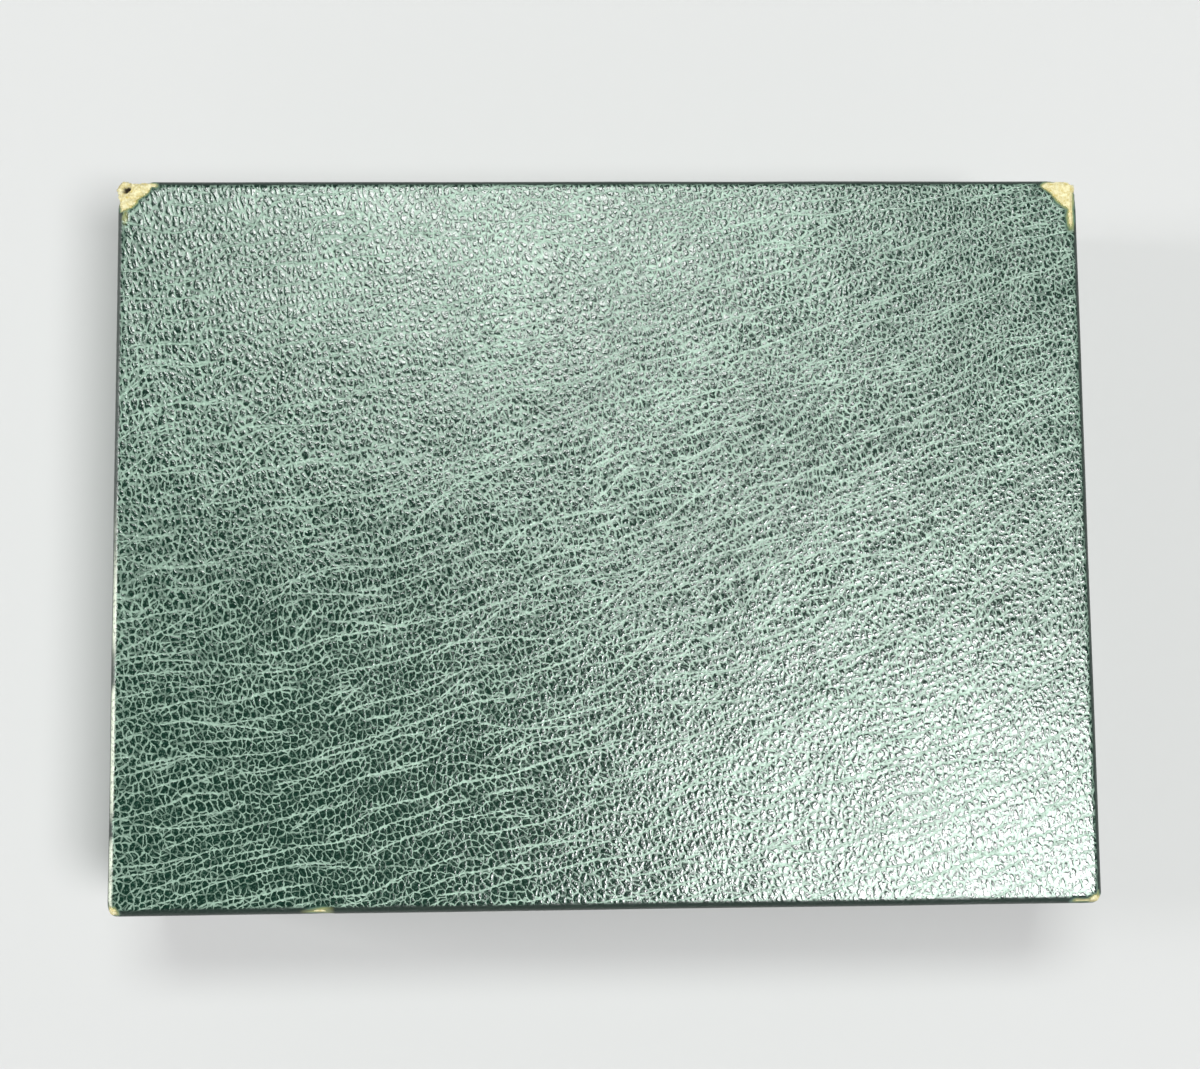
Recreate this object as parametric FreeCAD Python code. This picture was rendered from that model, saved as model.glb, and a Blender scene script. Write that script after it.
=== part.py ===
"""A hinged presentation box for two decks of playing cards, as separate pieces.

A strawboard base and lid are covered in leatherette. The base carries an inner shoulder that the
lid closes over, two lined wells with lift ribbons, and a leatherette strip at the back that is the
hinge. Millimetres. The origin is under the middle of the box, +Z is up, the front is at -Y, and the
hinge is at +Y.
"""

import FreeCAD
import Part
import os

from FreeCAD import Vector

# ---- driving dimensions, in millimetres ----
OUTER_X = 132.0  # outside width, along the hinge
OUTER_Y = 99.0  # outside depth of the covered walls
TOTAL_Z = 31.0  # closed height
EDGE_R = 1.1  # radius of the covered outer edges

WRAP_T = 0.35  # leatherette
LINER_T = 0.35  # bottom paper
FLOOR_T = 2.0  # base floor board
BASE_WALL_T = 1.8  # base wall boards
LID_TOP_T = 2.0  # lid top board
LID_WALL_T = 1.35  # lid wall boards, thinner so that the lid clears the shoulder
NECK_T = 1.2  # shoulder boards
FACING_T = 0.15  # paper over the shoulder
LINING_T = 0.35  # velvet paper in the wells, and the paper strip in the lid
DIVIDER_T = 2.0

RIM_GAP = 0.3  # between the two rims when shut
NECK_RISE = 5.0  # how far the shoulder stands above the seam
BASE_TURN_IN = 6.0  # leatherette folded over the base rim
LID_TURN_IN = 6.0  # leatherette folded over the lid rim
BOTTOM_TURN_IN = 12.0  # leatherette folded under the floor
LINER_INSET = 3.0  # bottom paper stops short of the edges

WELL_PAD_T = 1.8
WELL_PAD_SLACK = 0.1
RIBBON_W = 12.0
RIBBON_T = 0.4
RIBBON_BEND_R = 1.2
RIBBON_TOP_Z = 19.4  # the free end, just under the shoulder's top
RIBBON_SLIT = 0.7  # gap behind the well pad, where the ribbon comes up

LID_PAD_BOARD_T = 1.0
LID_PAD_T = 5.2
LID_PAD_SLACK = 0.3
LID_PAD_R = 4.0  # rounding of the pad's lower edges

HINGE_REACH = 8.0  # strip above and below the seam
HINGE_INSET = 3.0  # strip stops short of the side faces

# ---- heights that follow ----
SEAM_Z = TOTAL_Z / 2
BASE_RIM_Z = SEAM_Z - RIM_GAP / 2
LID_RIM_Z = SEAM_Z + RIM_GAP / 2
FLOOR_Z = LINER_T + WRAP_T
FLOOR_TOP_Z = FLOOR_Z + FLOOR_T
NECK_TOP_Z = SEAM_Z + NECK_RISE
BOARD_TOP_Z = NECK_TOP_Z - FACING_T
LID_TOP_Z = TOTAL_Z - WRAP_T
LID_CEILING_Z = LID_TOP_Z - LID_TOP_T
PAD_BOARD_Z = LID_CEILING_Z - LID_PAD_BOARD_T
LID_PAD_Z = PAD_BOARD_Z - LID_PAD_T
WELL_PAD_TOP_Z = FLOOR_TOP_Z + WELL_PAD_T

# ---- distances in from the outside faces ----
BASE_WALL_IN = WRAP_T + BASE_WALL_T
BASE_TURN_IN_IN = BASE_WALL_IN + WRAP_T
NECK_OUT = BASE_TURN_IN_IN + FACING_T
NECK_IN = NECK_OUT + NECK_T
WELL_IN = NECK_IN + LINING_T
LID_WALL_IN = WRAP_T + LID_WALL_T
LID_TURN_IN_IN = LID_WALL_IN + WRAP_T
BOARD_R = EDGE_R - WRAP_T

# ---- the wells ----
WELL_END_X = OUTER_X / 2 - WELL_IN
WELL_SIDE_X = DIVIDER_T / 2 + LINING_T
WELL_HALF_Y = OUTER_Y / 2 - WELL_IN
WELL_MID_X = (WELL_END_X + WELL_SIDE_X) / 2


def box(low_x, high_x, low_y, high_y, low_z, high_z):
    """A plain block between two corners."""
    return Part.makeBox(high_x - low_x, high_y - low_y, high_z - low_z, Vector(low_x, low_y, low_z))


def block(inset, low_z, high_z):
    """A block centred on the box, with its sides inset from the outside faces."""
    half_x = OUTER_X / 2 - inset
    half_y = OUTER_Y / 2 - inset
    return box(-half_x, half_x, -half_y, half_y, low_z, high_z)


def is_upright(edge):
    start, end = (v.Point for v in edge.Vertexes)
    return abs(start.x - end.x) < 1e-6 and abs(start.y - end.y) < 1e-6


def is_level_at(edge, z):
    return all(abs(v.Point.z - z) < 1e-6 for v in edge.Vertexes)


def rounded_block(inset, low_z, high_z, radius, round_z=None):
    """A block with its upright edges rounded, and the level edges at round_z too."""
    shape = block(inset, low_z, high_z)
    edges = [e for e in shape.Edges if is_upright(e)]
    if round_z is not None:
        edges += [e for e in shape.Edges if is_level_at(e, round_z)]
    return shape.makeFillet(radius, edges)


def ring(outer_inset, inner_inset, low_z, high_z):
    """A band between two insets from the outside faces."""
    return block(outer_inset, low_z, high_z).cut(block(inner_inset, low_z - 1, high_z + 1))


def walls(prefix, outer_inset, thickness, low_z, high_z, corner_r=0.0):
    """Four boards: front and back run the full width, left and right fit between them."""
    half_x = OUTER_X / 2 - outer_inset
    half_y = OUTER_Y / 2 - outer_inset
    inner_y = half_y - thickness
    front = box(-half_x, half_x, -half_y, -inner_y, low_z, high_z)
    back = box(-half_x, half_x, inner_y, half_y, low_z, high_z)
    if corner_r:
        front = round_outer_corners(front, -half_y, corner_r)
        back = round_outer_corners(back, half_y, corner_r)
    return {
        prefix + "_front_board": front,
        prefix + "_back_board": back,
        prefix + "_left_board": box(-half_x, -half_x + thickness, -inner_y, inner_y, low_z, high_z),
        prefix + "_right_board": box(half_x - thickness, half_x, -inner_y, inner_y, low_z, high_z),
    }


def round_outer_corners(board, outer_y, radius):
    edges = [e for e in board.Edges if is_upright(e) and abs(e.Vertexes[0].Point.y - outer_y) < 1e-6]
    return board.makeFillet(radius, edges)


# ---- base ----
def base_floor_board():
    return rounded_block(WRAP_T, FLOOR_Z, FLOOR_TOP_Z, BOARD_R, round_z=FLOOR_Z)


def base_wrap():
    """One sheet: under the floor's edge, up the walls, over the rim and down inside it."""
    shell = rounded_block(0, LINER_T, BASE_RIM_Z, EDGE_R, round_z=LINER_T)
    boards = rounded_block(WRAP_T, FLOOR_Z, BASE_RIM_Z - WRAP_T, BOARD_R, round_z=FLOOR_Z)
    inside = block(BASE_TURN_IN_IN, FLOOR_Z, TOTAL_Z)
    under = block(BOTTOM_TURN_IN, 0, FLOOR_TOP_Z)
    inner_fold = ring(BASE_WALL_IN, BASE_TURN_IN_IN, BASE_RIM_Z - BASE_TURN_IN, BASE_RIM_Z)
    return shell.cut(boards).cut(inside).cut(under).fuse(inner_fold).removeSplitter()


def bottom_liner():
    """Paper pasted under the floor. Its middle meets the board inside the folded leatherette."""
    sheet = block(LINER_INSET, 0, LINER_T)
    middle = block(BOTTOM_TURN_IN, 0, FLOOR_Z)
    return sheet.fuse(middle).removeSplitter()


def neck_facing():
    """Paper over the shoulder: down its outside to below the rim, and over its top edge."""
    outside = ring(BASE_TURN_IN_IN, NECK_OUT, BASE_RIM_Z - BASE_TURN_IN, NECK_TOP_Z)
    top = ring(BASE_TURN_IN_IN, WELL_IN, BOARD_TOP_Z, NECK_TOP_Z)
    return outside.fuse(top).removeSplitter()


def center_divider():
    half_y = OUTER_Y / 2 - NECK_IN
    return box(-DIVIDER_T / 2, DIVIDER_T / 2, -half_y, half_y, FLOOR_TOP_Z, BOARD_TOP_Z)


def divider_cap():
    return box(-WELL_SIDE_X, WELL_SIDE_X, -WELL_HALF_Y, WELL_HALF_Y, BOARD_TOP_Z, NECK_TOP_Z)


def well_lining(side):
    """Velvet paper round the four walls of one well. side is -1 for left and +1 for right."""
    outer = well_block(side, LINING_T, FLOOR_TOP_Z, BOARD_TOP_Z)
    return outer.cut(well_block(side, 0, FLOOR_TOP_Z - 1, TOTAL_Z))


def well_block(side, grow, low_z, high_z):
    """The space of one well, grown outwards on all four sides."""
    ends = sorted((side * (WELL_SIDE_X - grow), side * (WELL_END_X + grow)))
    return box(ends[0], ends[1], -WELL_HALF_Y - grow, WELL_HALF_Y + grow, low_z, high_z)


def well_pad(side):
    """The floor of one well, cut short at the back so that the ribbon can come up behind it."""
    pad = well_block(side, -WELL_PAD_SLACK, FLOOR_TOP_Z, WELL_PAD_TOP_Z)
    return pad.cut(box(-OUTER_X, OUTER_X, WELL_HALF_Y - RIBBON_SLIT, OUTER_Y, 0, TOTAL_Z))


def lift_ribbon(side):
    """Ribbon up from behind the pad, along the floor of the well and up its front wall."""
    half_t = RIBBON_T / 2
    back_y = WELL_HALF_Y - half_t
    front_y = -WELL_HALF_Y + half_t
    floor_z = WELL_PAD_TOP_Z + half_t
    bend = RIBBON_BEND_R
    tight = RIBBON_T
    x = side * WELL_MID_X - RIBBON_W / 2

    def arc(center_y, center_z, radius, from_y, from_z, to_y, to_z):
        middle = Vector(x, (from_y + to_y) / 2 - center_y, (from_z + to_z) / 2 - center_z)
        reach = radius / Vector(0, middle.y, middle.z).Length
        on_arc = Vector(x, center_y + middle.y * reach, center_z + middle.z * reach)
        return Part.Arc(Vector(x, from_y, from_z), on_arc, Vector(x, to_y, to_z)).toShape()

    def line(from_y, from_z, to_y, to_z):
        return Part.makeLine(Vector(x, from_y, from_z), Vector(x, to_y, to_z))

    path = Part.Wire([
        line(back_y, FLOOR_TOP_Z, back_y, floor_z - tight),
        arc(back_y - tight, floor_z - tight, tight, back_y, floor_z - tight, back_y - tight, floor_z),
        line(back_y - tight, floor_z, front_y + bend, floor_z),
        arc(front_y + bend, floor_z + bend, bend, front_y + bend, floor_z, front_y, floor_z + bend),
        line(front_y, floor_z + bend, front_y, RIBBON_TOP_Z),
    ])
    corners = [
        Vector(x, back_y - half_t, FLOOR_TOP_Z),
        Vector(x + RIBBON_W, back_y - half_t, FLOOR_TOP_Z),
        Vector(x + RIBBON_W, back_y + half_t, FLOOR_TOP_Z),
        Vector(x, back_y + half_t, FLOOR_TOP_Z),
    ]
    section = Part.makePolygon(corners + corners[:1])
    return path.makePipeShell([section], True, True)


# ---- lid ----
def lid_top_board():
    return rounded_block(WRAP_T, LID_CEILING_Z, LID_TOP_Z, BOARD_R, round_z=LID_TOP_Z)


def lid_wrap():
    """One sheet: over the top, down the walls, round the rim and up inside it."""
    shell = rounded_block(0, LID_RIM_Z, TOTAL_Z, EDGE_R, round_z=TOTAL_Z)
    boards = rounded_block(WRAP_T, LID_RIM_Z + WRAP_T, LID_TOP_Z, BOARD_R, round_z=LID_TOP_Z)
    inside = block(LID_TURN_IN_IN, 0, LID_CEILING_Z)
    inner_fold = ring(LID_WALL_IN, LID_TURN_IN_IN, LID_RIM_Z, LID_RIM_Z + LID_TURN_IN)
    return shell.cut(boards).cut(inside).fuse(inner_fold).removeSplitter()


def lid_side_lining():
    return ring(LID_WALL_IN, LID_TURN_IN_IN, LID_RIM_Z + LID_TURN_IN, LID_CEILING_Z)


def lid_pad_board():
    return block(LID_TURN_IN_IN + LID_PAD_SLACK, PAD_BOARD_Z, LID_CEILING_Z)


def lid_pad():
    """Satin over wadding: its lower edges are rounded off where the satin is pulled round the card."""
    inset = LID_TURN_IN_IN + LID_PAD_SLACK
    pad = block(inset, LID_PAD_Z, PAD_BOARD_Z)
    edges = [e for e in pad.Edges if is_level_at(e, LID_PAD_Z)]
    return pad.makeFillet(LID_PAD_R, edges)


def hinge_strip():
    half_x = OUTER_X / 2 - HINGE_INSET
    back_y = OUTER_Y / 2
    return box(-half_x, half_x, back_y, back_y + WRAP_T, SEAM_Z - HINGE_REACH, SEAM_Z + HINGE_REACH)


def make_parts():
    parts = {
        "bottom_liner": bottom_liner(),
        "base_floor_board": base_floor_board(),
        "base_wrap": base_wrap(),
        "neck_facing": neck_facing(),
        "center_divider": center_divider(),
        "divider_cap": divider_cap(),
        "hinge_strip": hinge_strip(),
        "lid_top_board": lid_top_board(),
        "lid_wrap": lid_wrap(),
        "lid_side_lining": lid_side_lining(),
        "lid_pad_board": lid_pad_board(),
        "lid_pad": lid_pad(),
    }
    parts.update(walls("base", WRAP_T, BASE_WALL_T, FLOOR_TOP_Z, BASE_RIM_Z - WRAP_T, BOARD_R))
    parts.update(walls("neck", NECK_OUT, NECK_T, FLOOR_TOP_Z, BOARD_TOP_Z))
    parts.update(walls("lid", WRAP_T, LID_WALL_T, LID_RIM_Z + WRAP_T, LID_CEILING_Z, BOARD_R))
    for name, side in (("left", -1), ("right", 1)):
        parts[name + "_well_lining"] = well_lining(side)
        parts[name + "_well_pad"] = well_pad(side)
        parts[name + "_lift_ribbon"] = lift_ribbon(side)
    return parts


os.makedirs("parts", exist_ok=True)
for node, shape in make_parts().items():
    shape.exportStep("parts/" + node + ".step")
    print(f"{node}: {shape.Volume:.1f} mm3, {len(shape.Solids)} solid, valid {shape.isValid()}")
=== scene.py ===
"""Looks of the card deck box: leatherette over strawboard, velvet wells, satin ribbons and pad.

Lengths in the tables below are millimetres and mm() turns them into metres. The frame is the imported
model's: the origin under the middle of the box, +Z up, the front at -Y, the hinge at +Y.
"""

import math
import random

import bpy
import bmesh
import numpy as np
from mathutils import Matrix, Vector, noise


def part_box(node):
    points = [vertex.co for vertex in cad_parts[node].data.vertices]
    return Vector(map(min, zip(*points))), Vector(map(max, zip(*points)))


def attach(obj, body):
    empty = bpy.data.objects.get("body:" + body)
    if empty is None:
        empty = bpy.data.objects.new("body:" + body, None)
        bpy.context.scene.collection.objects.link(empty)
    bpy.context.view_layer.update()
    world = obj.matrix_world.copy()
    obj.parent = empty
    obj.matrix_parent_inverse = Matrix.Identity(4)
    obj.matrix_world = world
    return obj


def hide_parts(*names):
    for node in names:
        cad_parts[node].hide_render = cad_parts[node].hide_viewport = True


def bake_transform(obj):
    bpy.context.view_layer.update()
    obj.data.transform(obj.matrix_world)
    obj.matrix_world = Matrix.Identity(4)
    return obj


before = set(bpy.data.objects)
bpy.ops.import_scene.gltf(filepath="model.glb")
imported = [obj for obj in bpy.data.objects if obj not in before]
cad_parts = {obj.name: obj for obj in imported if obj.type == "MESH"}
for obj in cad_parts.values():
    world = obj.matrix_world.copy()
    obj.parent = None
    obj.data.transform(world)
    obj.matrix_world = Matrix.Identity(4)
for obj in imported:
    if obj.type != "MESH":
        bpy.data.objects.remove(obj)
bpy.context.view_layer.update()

MM = 0.001


# ---------------------------------------------------------------- small helpers
def mm(*values):
    """Millimetres to metres."""
    scaled = [v * MM for v in values]
    return scaled[0] if len(scaled) == 1 else scaled


def node_box(name):
    """A CAD node's lowest and highest corners in millimetres."""
    low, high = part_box(name)
    return np.array(low) / MM, np.array(high) / MM


def smooth(low, high, value):
    """0 below low, 1 above high, and an eased step between."""
    t = np.clip((np.asarray(value, float) - low) / (high - low), 0, 1)
    return t * t * (3 - 2 * t)


def ripple(points, size, seed, octaves=3):
    """Smooth noise of about -1 to 1 at each point, with features of about the given size."""
    out = np.zeros(len(points))
    for k, p in enumerate(points):
        v = Vector((p[0] / size + seed, p[1] / size - seed, p[2] / size + 0.7 * seed))
        out[k] = noise.fractal(v, 1.0, 2.0, octaves)
    return out


def grid_lines(half, fine, coarse, band, growth=1.2):
    """Grid lines from -half to half: fine within band of each end, and coarser between."""
    steps = [0.0]
    step = fine
    while steps[-1] < half:
        if steps[-1] > band:
            step = min(coarse, step * growth)
        steps.append(steps[-1] + step)
    near = np.array(steps) * half / steps[-1] - half
    return np.concatenate([near, -near[-2::-1]])


def plan(low, high):
    """Half the size of a box and its middle, seen from above."""
    return (high[:2] - low[:2]) / 2, (high[:2] + low[:2]) / 2


def lattice(rows, columns, uv_at=None):
    """Quads over points laid down row by row, and the uv pair of each of their corners."""
    faces, uv = [], []
    for j in range(rows - 1):
        for k in range(columns - 1):
            quad = [(j + 1, k), (j + 1, k + 1), (j, k + 1), (j, k)]
            faces.append([a * columns + b for a, b in quad])
            uv += [uv_at(a, b) for a, b in quad] if uv_at else []
    return faces, uv


def with_corners(faces, uv):
    """Each face together with the uv pairs of its own corners."""
    start = 0
    for face in faces:
        yield face, uv[start:start + len(face)]
        start += len(face)


def run_along(points):
    """Distance from the first point to each point of a line."""
    return np.concatenate([[0], np.cumsum(np.hypot(*np.diff(np.array(points), axis=0).T))])


def toned(colour, amount):
    """A colour made darker or lighter, up to white."""
    return tuple(min(1, c * amount) for c in colour)


def rows_between(start, end, step):
    """Values from start to end, about step apart."""
    count = max(1, int(math.ceil(abs(end - start) / step)))
    return [start + (end - start) * k / count for k in range(count + 1)]


def mesh_object(name, verts, faces, uv=None, materials=()):
    """A mesh object from millimetre vertices. uv is one pair in millimetres for each loop."""
    mesh = bpy.data.meshes.new(name)
    mesh.from_pydata([tuple(v) for v in np.asarray(verts) * MM], [], [tuple(f) for f in faces])
    if uv is not None:
        layer = mesh.uv_layers.new(name="grain")
        layer.data.foreach_set("uv", np.asarray(uv, np.float32).ravel())
    mesh.update()
    mesh.polygons.foreach_set("use_smooth", [True] * len(mesh.polygons))
    for material in materials:
        mesh.materials.append(material)
    obj = bpy.data.objects.new(name, mesh)
    bpy.context.scene.collection.objects.link(obj)
    return obj


def point_attribute(obj, name, values):
    """A number for each vertex, which the materials read by name."""
    layer = obj.data.attributes.new(name, "FLOAT", "POINT")
    layer.data.foreach_set("value", np.asarray(values, np.float32))


def thicken(obj, thickness, rim_slot=None):
    """Gives a sheet its thickness, away from its outer face."""
    solid = obj.modifiers.new("thickness", "SOLIDIFY")
    solid.thickness = mm(thickness)
    solid.offset = -1
    solid.use_even_offset = False
    if rim_slot is not None:
        solid.material_offset_rim = rim_slot
    return solid


def place(obj, body, replaced):
    """Puts a piece on its body, in place of a CAD node."""
    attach(obj, body)
    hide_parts(replaced)
    return obj


# ---------------------------------------------------------------- material nodes
class Shader:
    """A material with a Principled shader, built from procedural nodes."""

    def __init__(self, name):
        self.material = bpy.data.materials.new(name)
        self.material.use_nodes = True
        self.nodes = self.material.node_tree.nodes
        self.links = self.material.node_tree.links
        self.surface = self.nodes["Principled BSDF"]

    def node(self, kind, settings=None, **inputs):
        made = self.nodes.new("ShaderNode" + kind)
        for key, value in (settings or {}).items():
            setattr(made, key, value)
        for key, value in inputs.items():
            self.put(made.inputs[key.replace("_", " ")], value)
        return made

    def put(self, socket, value):
        if isinstance(value, bpy.types.NodeSocket):
            self.links.new(value, socket)
        elif isinstance(value, tuple) and len(value) == 3 and socket.type == "RGBA":
            socket.default_value = (*value, 1)
        else:
            socket.default_value = value

    def math(self, operation, a, b=0.5):
        made = self.node("Math", {"operation": operation})
        self.put(made.inputs[0], a)
        self.put(made.inputs[1], b)
        return made.outputs[0]

    def add(self, a, b):
        return self.math("ADD", a, b)

    def times(self, a, b):
        return self.math("MULTIPLY", a, b)

    def over(self, a, b):
        return self.math("DIVIDE", a, b)

    def larger(self, a, b):
        return self.math("MAXIMUM", a, b)

    def less(self, a, b):
        return self.math("SUBTRACT", a, b)

    def vector(self, operation, a, b):
        made = self.node("VectorMath", {"operation": operation})
        self.put(made.inputs[0], a)
        self.put(made.inputs[1], b)
        return made.outputs[0]

    def scaled(self, vector, factors):
        return self.vector("MULTIPLY", vector, factors)

    def step(self, value, low, high, to_low=0.0, to_high=1.0):
        """A smooth step of value from low to high."""
        return self.node("MapRange", {"interpolation_type": "SMOOTHSTEP"}, Value=value, From_Min=low,
                         From_Max=high, To_Min=to_low, To_Max=to_high).outputs[0]

    def mix(self, factor, a, b):
        """a where factor is 0 and b where it is 1, for colours."""
        made = self.node("Mix", {"data_type": "RGBA"})
        self.put(made.inputs["Factor"], factor)
        self.put(made.inputs[6], a)
        self.put(made.inputs[7], b)
        return made.outputs[2]

    def blend(self, factor, a, b):
        """a where factor is 0 and b where it is 1, for numbers."""
        made = self.node("Mix", {"data_type": "FLOAT"})
        self.put(made.inputs["Factor"], factor)
        self.put(made.inputs[2], a)
        self.put(made.inputs[3], b)
        return made.outputs[0]

    def noise(self, vector, scale, detail=3.0, rough=0.55, flat=False, distortion=0.0):
        return self.node("TexNoise", {"noise_dimensions": "2D" if flat else "3D"}, Vector=vector,
                         Scale=scale, Detail=detail, Roughness=rough, Distortion=distortion).outputs

    def crack(self, vector, randomness=1.0):
        """Distance to the nearest edge of irregular cells of about one unit."""
        kind = {"voronoi_dimensions": "2D", "feature": "DISTANCE_TO_EDGE"}
        made = self.node("TexVoronoi", kind, Vector=vector, Scale=1.0, Randomness=randomness)
        return made.outputs["Distance"]

    def uv(self):
        return self.node("UVMap", {"uv_map": "grain"}).outputs[0]

    def object_mm(self):
        """The point in the piece's own frame, in millimetres."""
        return self.vector("MULTIPLY", self.node("TexCoord").outputs["Object"], (1000, 1000, 1000))

    def attribute(self, name):
        return self.node("Attribute", {"attribute_name": name}).outputs["Fac"]

    def bump(self, height, distance, strength=1.0, under=None):
        """Height in units of distance, in millimetres."""
        made = self.node("Bump", Height=height, Strength=strength, Distance=mm(distance))
        if under is not None:
            self.put(made.inputs["Normal"], under)
        return made.outputs[0]

    def finish(self, **sockets):
        for key, value in sockets.items():
            self.put(self.surface.inputs[key.replace("_", " ")], value)
        return self.material


TURN = 6.2832  # radians
TIE_TURN = 1.2566  # radians of the satin's tie for each unit across
GRAIN_START = (200.0, 300.0)  # where the middle of the lid's top lies in the grain's own plane
CELL_GREEN = (0.0022, 0.0195, 0.0115)
CREASE_GREEN = (0.262, 0.388, 0.306)
RUBBED_GREEN = (0.055, 0.135, 0.098)
# Painted shade: the darker green of the cover where it bends over an edge.
FOLD_SHADE_GREEN = (0.0012, 0.0140, 0.0080)
THIN_OLIVE = (0.36, 0.37, 0.13)
# Painted highlight: the pale line along the rounding of the lid's left edge.
EDGE_HIGHLIGHT_CREAM = (0.66, 0.72, 0.58)
CREASE_STEP = 0.6  # how far apart, in millimetres, the creases' spacing is measured
FINE_SPOT = (-43.0, -46.0)  # the middle of the finest embossing, from GRAIN_START
STEEP_SPOT = (30.0, -20.0)  # where a steeper family of creases crosses the others
DIRT = (0.05, 0.035, 0.018)
CREASE_DRIFT = (0.055, 0.12, 0)  # how quickly a crease wavers, along it and across it
CREASE_GAPS = (0.085, 0.42, 0)  # how quickly a crease comes and goes
CELL_SIZE = (0.84, 1.16)  # the pebbles, in millimetres
SPECK_SIZE = (0.52, 0.48)
CREASE_FAMILIES = (
    # spacing in millimetres, angle in degrees, seed, and the noise from which a crease starts to show
    # and shows fully
    (2.5, 0.0, 0.0, 0.38, 0.55),
    (4.0, 21.0, 71.0, 0.46, 0.60),
    (4.2, -10.0, 143.0, 0.48, 0.62),
)


def crease_lines(s, uv, spacing, angle, seed):
    """Distance in millimetres to long wavering creases, and how strongly each shows there."""
    turned = s.node("Mapping", Vector=uv)
    turned.inputs["Rotation"].default_value = (0, 0, -math.radians(angle))
    turned.inputs["Location"].default_value = (seed, 2.3 * seed, 0)
    turned = turned.outputs[0]
    across = s.node("SeparateXYZ", Vector=turned).outputs[1]
    drift = s.noise(s.scaled(turned, CREASE_DRIFT), 1.0, 1.0, 0.5, flat=True)["Fac"]
    beyond = s.vector("ADD", turned, (0, CREASE_STEP, 0))
    beyond = s.noise(s.scaled(beyond, CREASE_DRIFT), 1.0, 1.0, 0.5, flat=True)["Fac"]
    slope = s.times(s.less(beyond, drift), 1 / CREASE_STEP)
    slope = s.larger(s.add(slope, 1 / spacing), 0.5 / spacing)
    phase = s.add(s.over(across, spacing), drift)
    off = s.math("ABSOLUTE", s.less(s.math("FRACT", phase), 0.5))
    shown = s.noise(s.scaled(turned, CREASE_GAPS), 1.0, 1.0, 0.5, flat=True)["Fac"]
    return s.over(off, slope), shown


def away_from(s, uv, spot, inner, outer):
    """0 within inner of a spot, measured from GRAIN_START, and 1 beyond outer."""
    made = s.node("VectorMath", {"operation": "LENGTH"})
    middle = (GRAIN_START[0] + spot[0], GRAIN_START[1] + spot[1], 0)
    s.put(made.inputs[0], s.vector("SUBTRACT", uv, middle))
    return s.step(made.outputs["Value"], inner, outer)


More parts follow.
